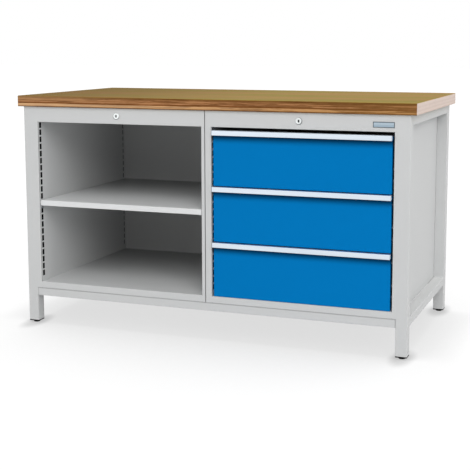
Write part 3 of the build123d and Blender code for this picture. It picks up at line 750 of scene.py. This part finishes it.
# %% [markdown]
# ## The name plate
#
# A small plate sits at the right of the upper panel. It is left blank: bluish
# anodised sheet with a darker rolled rim. The rim could be a frame of its own,
# but it is only two millimetres wide and lies flat, so it is found by how near
# a point is to the plate's outline. A soft lighter streak along the face is a painted reflection.

# %% Name plate
rim_width = (0.0018, 0.0024)
reflection_foot, reflection_top = (0.45, 0.62), (0.86, 0.70)  # shares of the plate's height


def plate_coat(low, high):
    material, shader, place = new_finish("plate_sheet", specular=0.2)
    height = (coordinate(place, "Z") - low[2]) / (high[2] - low[2])
    brushed = noise(place, detail=3, roughness=0.6, stretch=(8, 500, 900))
    # a painted reflection: a soft lighter streak across the face
    streak = step(height, *reflection_foot) * step(height, *reflection_top)
    face = mix(streak * 0.6 + brushed * 0.25, seen(152, 171, 185), seen(182, 196, 205))
    rim = mix(brushed, seen(76, 84, 90), seen(98, 106, 112))
    inner = step(depth_inside(place, low, high, "XZ"), *rim_width)
    rounded, _ = soft_edge(place, radius=0.0004)
    feed(shader, Base_Color=mix(inner, rim, face), Metallic=0.2,
         Roughness=0.4 + brushed * 0.15, Normal=bump(brushed, depth=0.00001, Normal=rounded))
    return material


plate_finish = plate_coat(*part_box("fascia_plate"))
print("finish", plate_finish.name)

# %% [markdown]
# ## Painting the frame
#
# Each node of the packed record says which kind of finish it has. Its imported
# flat colour is swapped for the matching finish; the mesh itself is left as it
# is. Most nodes share one material of their kind, which keeps the file small.
# The parts of the cabinets get a coat each, because each must know its own
# outline for its painted shade inside, or how much painted shade it takes at
# the rear.

# %% Give each node its finish
kinds = {"plywood": plywood_finish, "grey_paint": grey_coat, "blue_paint": blue_coat,
         "aluminium": aluminium_finish, "zinc": zinc_finish, "bright_metal": nickel_finish,
         "black_plastic": plastic_finish}
special = {"front_rail": rail_coat, "end_bottom_rails": ledge_coat, "shelf": shelf_coat,
           "fascia_plate": plate_finish, "lock_barrels": ring_finish}
# how much painted shade each piece of the open cabinet takes at the rear
bay_rear_shades = {"left_wall": 0.12, "right_wall": 0.12, "back": 0.25, "floor": 0.42, "top": 0.42}


def cabinet_coat(node):
    """The coat of one part of a cabinet, with its own painted shades."""
    side, piece = node.split("_cabinet_")
    in_bay = side == "left" and piece in bay_rear_shades
    shades = [painted_bay_shade(bay_rear_shades[piece])] if in_bay else []
    painted_dark = None
    if piece.endswith("_wall"):
        painted_dark = (shade_inside_and_round_slots if in_bay else shade_inside_wall)(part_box(node))
    return powder_coat(node + "_coat", grey_colour, fine_texture,
                       shades=shades + [joint_crease], painted_dark=painted_dark)


for part in frame["record"]["subparts"]:
    node = part["node"]
    if "_cabinet_" in node:
        finish = cabinet_coat(node)
    else:
        finish = special.get(node) or kinds[part["material_slot"]]
    skin = nodes[node].data
    skin.materials.clear()
    skin.materials.append(finish)

# %% [markdown]
# ## Skins over rings
#
# A mesh can be made by adding boxes, by extruding an outline or by skinning a
# row of rings, as a boat's planks are laid over its ribs. The last does every
# small part here: a turned foot is a stack of circles, and a weld is the same
# few points repeated along a seam. The first and last rings are closed.

# %% Rings and skins
def skin_rings(mesh, rings, finish=0):
    """Lays faces over rings of points, one after the other, and closes both ends."""
    rows = [[mesh.verts.new(point) for point in ring] for ring in rings]
    faces = [mesh.faces.new(rows[0]), mesh.faces.new(rows[-1])]
    for first, second in zip(rows, rows[1:]):
        for k in range(len(first)):
            faces.append(mesh.faces.new((first[k - 1], first[k], second[k], second[k - 1])))
    for face in faces:
        face.material_index = finish


def circle(centre, radius, axis, sides):
    """Points round a circle that faces along an axis."""
    turn = Vector((0, 0, 1)).rotation_difference(axis)
    angles = [2 * math.pi * k / sides for k in range(sides)]
    return [centre + turn @ Vector((radius * math.cos(a), radius * math.sin(a), 0))
            for a in angles]


def turned_rings(start, axis, profile, sides):
    """The rings of a turned shape, from pairs of height and radius along an axis."""
    start, axis = Vector(start), Vector(axis)
    return [circle(start + axis * height, radius, axis, sides) for height, radius in profile]


print("helpers", [f.__name__ for f in (skin_rings, circle, turned_rings)])

# %% [markdown]
# ## From a mesh to a piece
#
# A finished mesh becomes an object, gets its materials and is told which body
# carries it, so that it moves with that body. It is shaded smooth, but an edge
# that is sharper than half a radian is marked, because a crisp turned shoulder
# would otherwise look like soap. An open edge has no angle and counts as sharp.

# %% Make a piece
sharp_angle, open_edge_angle = 0.5, 3.0  # radians


def make_piece(name, mesh, body, slot, *skins):
    """Turns a finished bmesh into an object that rides on a body."""
    bmesh.ops.recalc_face_normals(mesh, faces=mesh.faces)
    for face in mesh.faces:
        face.smooth = True
    for line in mesh.edges:
        line.smooth = line.calc_face_angle(open_edge_angle) < sharp_angle
    data = bpy.data.meshes.new(name)
    mesh.to_mesh(data)
    mesh.free()
    for skin in skins:
        data.materials.append(skin)
    made = bpy.data.objects.new(name, data)
    bpy.context.scene.collection.objects.link(made)
    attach(made, body)
    return made


print("sharp from", sharp_angle, "radians")

# %% [markdown]
# ## Levelling feet
#
# Each leg stands on a plastic pad moulded on a threaded steel spindle, which
# screws up into the leg's cap. The pad is turned: flat underneath, with a
# rolled rim and a shoulder up to the spindle. A screw modifier would make the
# thread as a ribbon that has to be joined on. Here it is the same skin of
# rings, but each point's radius also follows its angle, so that the crest
# climbs one pitch in each turn, as on a real screw.

# %% Feet
pad_profile = [(0.0, 0.0100), (0.0004, 0.0112), (0.0012, 0.01185), (0.0030, 0.0119),
               (0.0040, 0.0112), (0.0052, 0.0096), (0.0060, 0.0078), (0.0069, 0.0070)]
pad_sides, spindle_sides = 48, 18
spindle_foot, spindle_step, spindle_gap = 0.0066, 0.0005, 0.0002
thread_core, thread_crest, thread_pitch = 0.0043, 0.00495, 0.0015
crest_shape = 0.8  # under 1 rounds the crests


def thread_ring(x, y, height):
    ring = []
    for k in range(spindle_sides):
        phase = (height / thread_pitch - k / spindle_sides) % 1.0
        crest = (1 - abs(2 * phase - 1)) ** crest_shape
        radius = thread_core + (thread_crest - thread_core) * crest
        angle = 2 * math.pi * k / spindle_sides
        ring.append((x + radius * math.cos(angle), y + radius * math.sin(angle), height))
    return ring


def levelling_foot(corner):
    low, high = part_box("foot_" + corner)
    x, y = (low[0] + high[0]) / 2, (low[1] + high[1]) / 2
    mesh = bmesh.new()
    skin_rings(mesh, turned_rings((x, y, low[2]), (0, 0, 1), pad_profile, pad_sides))
    rows = int((high[2] - spindle_foot - spindle_gap) / spindle_step) + 1
    skin_rings(mesh, [thread_ring(x, y, spindle_foot + spindle_step * k) for k in range(rows)],
               finish=1)
    foot = make_piece("levelling_" + corner, mesh, "foot_" + corner, "black_plastic",
                      plastic_finish, zinc_finish)
    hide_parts("foot_" + corner)
    return foot


for corner in ("front_left", "front_right", "rear_left", "rear_right"):
    print("foot", levelling_foot(corner).name)

# %% [markdown]
# ## Keyholes
#
# A furniture lock keeps dust out with a small dark shutter that the key
# pushes aside; here its black also stands in for the shade deep in the
# keyhole, as painted shade. It is an upright slot with round ends and a fine
# slit down its middle. Cutting the slit with a boolean would leave ragged
# faces, so the rings are all the same outline, drawn in and pushed back in
# turn. The shutter rides on the plug and turns with the key.

# %% Key shutters
shutter_rings = [  # behind the plug's face, width, height
    (0.0003, 0.0052, 0.0092), (-0.0002, 0.0052, 0.0092), (-0.0004, 0.0048, 0.0088),
    (-0.0004, 0.0012, 0.0066), (-0.0001, 0.0009, 0.0062)]
shutter_sides = 24


def slot_outline(x, y, z, width, height):
    """An upright slot with round ends that faces the front."""
    ring = []
    for k in range(shutter_sides):
        angle = 2 * math.pi * (k + 0.5) / shutter_sides
        lift = (height - width) / 2 * (1 if math.sin(angle) > 0 else -1)
        ring.append((x + width / 2 * math.cos(angle), y, z + width / 2 * math.sin(angle) + lift))
    return ring


def key_shutter(side):
    plug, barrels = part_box(side + "_lock_plug"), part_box("lock_barrels")
    x, z = (plug[0][0] + plug[1][0]) / 2, (barrels[0][2] + barrels[1][2]) / 2
    mesh = bmesh.new()
    skin_rings(mesh, [slot_outline(x, plug[0][1] + depth, z, width, height)
                      for depth, width, height in shutter_rings])
    return make_piece(side + "_key_shutter", mesh, side + "_lock", "black_plastic",
                      plastic_finish)


for side in ("left", "right"):
    print("shutter", key_shutter(side).name)

# %% [markdown]
# ## Ground seams
#
# The cabinets are welded to the legs and the panels to the walls, and every
# weld on the front is filled and ground flush before painting, so the front
# reads as one sheet. Joining the meshes would change the frame, which other
# work relies on. Instead each filled seam is a thin crowned strip that covers
# the two rounded edges, and its crown wavers by a hundredth of a millimetre,
# because it was ground by hand.

# %% Ground seams on the front
seam_half, seam_row = 0.0027, 0.02
seam_back, seam_skin = 0.0004, 0.00002  # the strip's feet, behind and before the front
seam_crown, seam_waver = 0.00003, 0.00001
seam_inset = 0.0015
hand_wave = (37, 50)  # how quickly the crown wavers along a seam, and from seam to seam


def ground_seam(mesh, x, low, high, plane):
    rings = []
    rows = max(4, int((high - low) / seam_row))
    for k in range(rows + 1):
        z = low + (high - low) * k / rows
        crown = seam_crown + seam_waver * math.sin(hand_wave[0] * z + hand_wave[1] * x)
        outline = ((-seam_half, seam_back), (-seam_half, -seam_skin), (0, -crown),
                   (seam_half, -seam_skin), (seam_half, seam_back))
        rings.append([(x + across, plane + depth, z) for across, depth in outline])
    skin_rings(mesh, rings)


front_plane = left_wall[0][1]
seams = bmesh.new()
for side, outer in (("left", 0), ("right", 1)):
    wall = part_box(f"{side}_cabinet_{side}_wall")
    ground_seam(seams, wall[outer][0], wall[0][2], wall[1][2], front_plane)
    for panel in ("fascia", "floor"):
        low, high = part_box(f"{side}_cabinet_{panel}")
        for x in (low[0], high[0]):
            ground_seam(seams, x, low[2] + seam_inset, high[2] - seam_inset, front_plane)
print("ground seams", make_piece("ground_seams", seams, "bench", "grey_paint", filler_coat).name)

# %% [markdown]
# ## Fillet welds
#
# Where a rail meets a leg at the ends and underneath, the weld is left as it
# was laid: a fillet in the corner, with a ripple for each step of the torch
# and a taper where it starts and stops. A swept profile would be as smooth as
# a pipe, so each ring of the skin is sized by a wave along the seam.

# %% Fillet welds on the rails
weld_leg, weld_ripple, ripple_depth = 0.0035, 0.0022, 0.07
rings_in_ripple = 4
weld_root = 0.0004  # how far the weld sinks into the corner
weld_profile = [(0, 1.0), (22, 0.9), (45, 0.85), (68, 0.9), (90, 1.0)]  # degrees, share of leg
weld_gap = 0.002  # kept free at each end
weld_tip, weld_rise = 0.35, 4  # the leg at each end, and how fast it grows to full


def fillet_weld(mesh, start, end, first, second):
    """A rippled fillet from start to end, against faces that look along first and second."""
    start, end, first, second = (Vector(v) for v in (start, end, first, second))
    rows = int((end - start).length / weld_ripple * rings_in_ripple)
    rings = []
    for k in range(rows + 1):
        along = start.lerp(end, k / rows)
        taper = min(1.0, weld_tip + weld_rise * min(k, rows - k) / rows)
        wave = 1 + ripple_depth * math.cos(2 * math.pi * k / rings_in_ripple)
        ring = [along - (first + second) * weld_root]
        for angle, bulge in weld_profile:
            turn = math.radians(angle)
            outward = first * math.cos(turn) + second * math.sin(turn)
            ring.append(along + outward * weld_leg * taper * wave * bulge)
        rings.append(ring)
    skin_rings(mesh, rings)


def end_welds(mesh, rail_node, levels):
    """Welds along the rails of both ends, at the underside and, on two levels, on top."""
    low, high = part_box(rail_node)
    for sign in (-1, 1):
        a, b = sorted((sign * (rail_high[0] + weld_gap), sign * (high[0] - weld_gap)))
        for z, up in [(low[2], -1), (high[2], 1)][:levels]:
            for y, back in ((low[1], 1), (high[1], -1)):
                fillet_weld(mesh, (a, y, z), (b, y, z), (0, 0, up), (0, back, 0))


welds = bmesh.new()
end_welds(welds, "end_bottom_rails", 2)
end_welds(welds, "end_top_rails", 1)
for rail in ("front_rail", "rear_bottom_rail"):
    low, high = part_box(rail)
    for x, inward in ((low[0], 1), (high[0], -1)):
        fillet_weld(welds, (x, low[1] + weld_gap, low[2]), (x, high[1] - weld_gap, low[2]),
                    (0, 0, -1), (inward, 0, 0))
print("fillet welds", make_piece("fillet_welds", welds, "bench", "grey_paint", filler_coat).name)

# %% [markdown]
# ## Blind rivets
#
# The back panels are held by blind rivets through their side flanges: a low
# dome with the dimple that the broken pin leaves. A ball pressed flat would
# have no dimple, so a rivet is turned, like a foot, and its last rings go back
# into the head.

# %% Blind rivets in the back panels
rivet_profile = [(-0.0003, 0.0032), (0.0002, 0.0032), (0.0007, 0.0029), (0.0012, 0.0022),
                 (0.0014, 0.0013), (0.0013, 0.0010), (0.0006, 0.0008)]
rivet_sides, rivets_each_side = 20, 5
rivet_foot, rivet_margins = 0.055, 0.165  # below the lowest, and both ends together
flange = 0.001  # from the panel's side to where its rivets stand

rivets = bmesh.new()
for panel in ("left_cabinet_back", "right_cabinet_back"):
    low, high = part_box(panel)
    y = (low[1] + high[1]) / 2
    for k in range(rivets_each_side):
        z = low[2] + rivet_foot + (high[2] - low[2] - rivet_margins) * k / (rivets_each_side - 1)
        for x, inward in ((low[0] + flange, 1), (high[0] - flange, -1)):
            skin_rings(rivets, turned_rings((x, y, z), (inward, 0, 0), rivet_profile,
                                            rivet_sides))
print("rivets", make_piece("back_rivets", rivets, "bench", "grey_paint", grey_coat).name)

# %% [markdown]
# ## Tray screws
#
# Each tray is screwed to its runners from inside with pan-head screws, whose
# cross recess is four short grooves. Cutting a cross would take a boolean for
# each of eighteen screws; here the recess is a star-shaped ring pushed into
# the head, which is cheap and never fails.

# %% Pan-head screws in the trays
head_profile = [(-0.0002, 0.0036), (0.0006, 0.0037), (0.0014, 0.0034), (0.0019, 0.0026)]
cross_rings = [(0.0020, 1.0), (0.0011, 0.8)]  # height, size
cross_core, cross_arm, cross_sharpness = 0.0005, 0.0014, 4
head_sides = 32
screws_each_side, first_screw, screw_pitch, tray_inset = 3, 0.07, 0.22, 0.009


def pan_screw(mesh, place, axis):
    place, axis = Vector(place), Vector(axis)
    turn = Vector((0, 0, 1)).rotation_difference(axis)
    rings = turned_rings(place, axis, head_profile, head_sides)
    for height, size in cross_rings:
        star = []
        for k in range(head_sides):
            angle = 2 * math.pi * k / head_sides
            arm = abs(math.cos(2 * angle)) ** cross_sharpness
            reach = (cross_core + cross_arm * arm) * size
            spoke = Vector((reach * math.cos(angle), reach * math.sin(angle), 0))
            star.append(place + axis * height + turn @ spoke)
        rings.append(star)
    skin_rings(mesh, rings)


for number in (1, 2, 3):
    tray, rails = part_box(f"drawer_tray_{number}"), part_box(f"drawer_rails_{number}")
    z = (rails[0][2] + rails[1][2]) / 2
    screws = bmesh.new()
    for k in range(screws_each_side):
        y = tray[0][1] + first_screw + screw_pitch * k
        pan_screw(screws, (tray[0][0] + tray_inset, y, z), (1, 0, 0))
        pan_screw(screws, (tray[1][0] - tray_inset, y, z), (-1, 0, 0))
    made = make_piece(f"tray_screws_{number}", screws, f"drawer_{number}", "zinc", zinc_finish)
    print("screws", made.name)

# %% [markdown]
# ## What the camera sees
#
# A white studio is never quite white far away when it is lit by lamps, and
# more light on it would bleach the bench. So the floor and the sky answer
# differently to the camera than to the bench: the camera, and what it sees in
# metal or through glass, gets white, and the bench gets plain light.

# %% Light that reaches the camera
def camera_sees(wire):
    """1 for light that goes to the camera, or to it by way of metal or glass."""
    rays = wire.node("LightPath")
    shown = wire.math("MAXIMUM", rays, rays.also("Is Glossy Ray"))
    return wire.math("MAXIMUM", shown, rays.also("Is Transmission Ray"))


print("helper", camera_sees.__name__)

# %% [markdown]
# ## The floor
#
# The floor is a pale sheet. Laid as a plain white plane it would lose the soft
# dark pool under the bench, so its own glow follows how much sky a point can
# see: least under the bench, most in the open, and full white far off, where
# no edge of the sheet may show. A small halo deepens the pool where each foot
# stands; it is measured from the middle of the bench outwards, so the two
# right-hand feet speak for all four.

# %% The floor's finish
halo_reach = (0.055, 0.13)  # metres along X and Y
halo_share, halo_start = 0.26, 0.35  # of the glow at its darkest, of the reach that stays dark
sky_reach, sky_full = 1.5, 0.24  # how far off a thing hides sky, and what a full sky adds
sky_seen = (0.36, 0.92)  # shares of the sky where the glow starts to rise, and where it is full
beside_bench, far_off = (0.70, 0.95), (1.2, 2.6)  # metres from the middle, where each begins, ends


def foot_halo(place, aside, foot):
    """What is left of the glow round a foot."""
    low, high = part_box(foot)
    x = (aside - (low[0] + high[0]) / 2) / halo_reach[0]
    y = (coordinate(place, "Y") - (low[1] + high[1]) / 2) / halo_reach[1]
    clear = step(place.math("SQRT", x * x + y * y), halo_start, 1.0)
    return (1 - halo_share) + halo_share * clear


def floor_finish(glow, shown, real):
    """A floor that glows for the camera, whose own colour differs there from elsewhere."""
    material, shader, place = new_finish("studio_floor", specular=0.0)
    shelter = place.node("AmbientOcclusion", {"samples": 16}, {"Distance": sky_reach})
    open_sky = step(place.node("SeparateColor", {}, {"Color": shelter}), *sky_seen)
    aside = distance_from(place, "X", 0)
    lift = glow + sky_full * place.math("MAXIMUM", open_sky, step(aside, *beside_bench))
    for foot in ("foot_front_right", "foot_rear_right"):
        lift = lift * foot_halo(place, aside, foot)
    away = step(place.node("VectorMath", {"operation": "LENGTH"}, {0: place}, out="Value"),
                *far_off)
    mask = camera_sees(place)
    feed(shader, Base_Color=grey(real + mask * (shown - real)),
         Emission_Color=grey(mask * (lift + away * (1 - lift))), Emission_Strength=1.0,
         Roughness=0.9)
    return material


floor_coat = floor_finish(glow=0.70, shown=0.10, real=0.88)
print("finish", floor_coat.name)

# %% [markdown]
# ## Laying the floor
#
# One square is enough, and it is much larger than the bench, so that its edge
# lies beyond any view. It is marked as part of the stage, because it is no
# part of the bench.

# %% The floor
floor_half = 40


def studio_floor(size, finish):
    mesh = bpy.data.meshes.new("studio_floor")
    corners = [(-size, -size, 0), (size, -size, 0), (size, size, 0), (-size, size, 0)]
    mesh.from_pydata(corners, [], [(0, 1, 2, 3)])
    mesh.materials.append(finish)
    made = bpy.data.objects.new("studio_floor", mesh)
    bpy.context.scene.collection.objects.link(made)
    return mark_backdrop(made)


studio_floor(floor_half, floor_coat)
print("floor laid")

# %% [markdown]
# ## The sky and the lamps
#
# One small lamp would throw hard shadows and blow out the grips. Broad soft
# boxes do neither: a large key in front and to the right, high enough to leave
# the shelves in shade, a side lamp for the end of the bench, and a low weak
# fill on the left. The sky is an even half-bright grey that fills in the rest.

# %% Sky and lamps
sky_light = 0.49
lamps = [  # name, place, aim, size in metres, power in watts
    ("key_lamp", (6.4, -12.6, 10.4), (0, 0, 0.4), 11.0, 1425),
    ("side_lamp", (9.5, -0.2, 6.0), (0, 0, 0.4), 5.0, 250),
    ("fill_lamp", (-6.0, -8.0, 1.4), (0, 0, 0.3), 4.0, 84)]


def sky(light):
    world = bpy.data.worlds.new("studio_sky")
    bpy.context.scene.world = world
    world.use_nodes = True
    mask = camera_sees(Wire(world.node_tree))
    feed(world.node_tree.nodes["Background"], Color=(1, 1, 1, 1),
         Strength=light + mask * (1 - light))


def lamp(name, place, aim, size, watts):
    data = bpy.data.lights.new(name, "AREA")
    data.shape = "SQUARE"
    data.size = size
    data.energy = watts
    made = bpy.data.objects.new(name, data)
    made.location = place
    made.rotation_euler = (Vector(aim) - Vector(place)).to_track_quat("-Z", "Y").to_euler()
    bpy.context.scene.collection.objects.link(made)


sky(sky_light)
for settings in lamps:
    lamp(*settings)
bpy.context.scene.view_settings.view_transform = "Standard"

# %% [markdown]
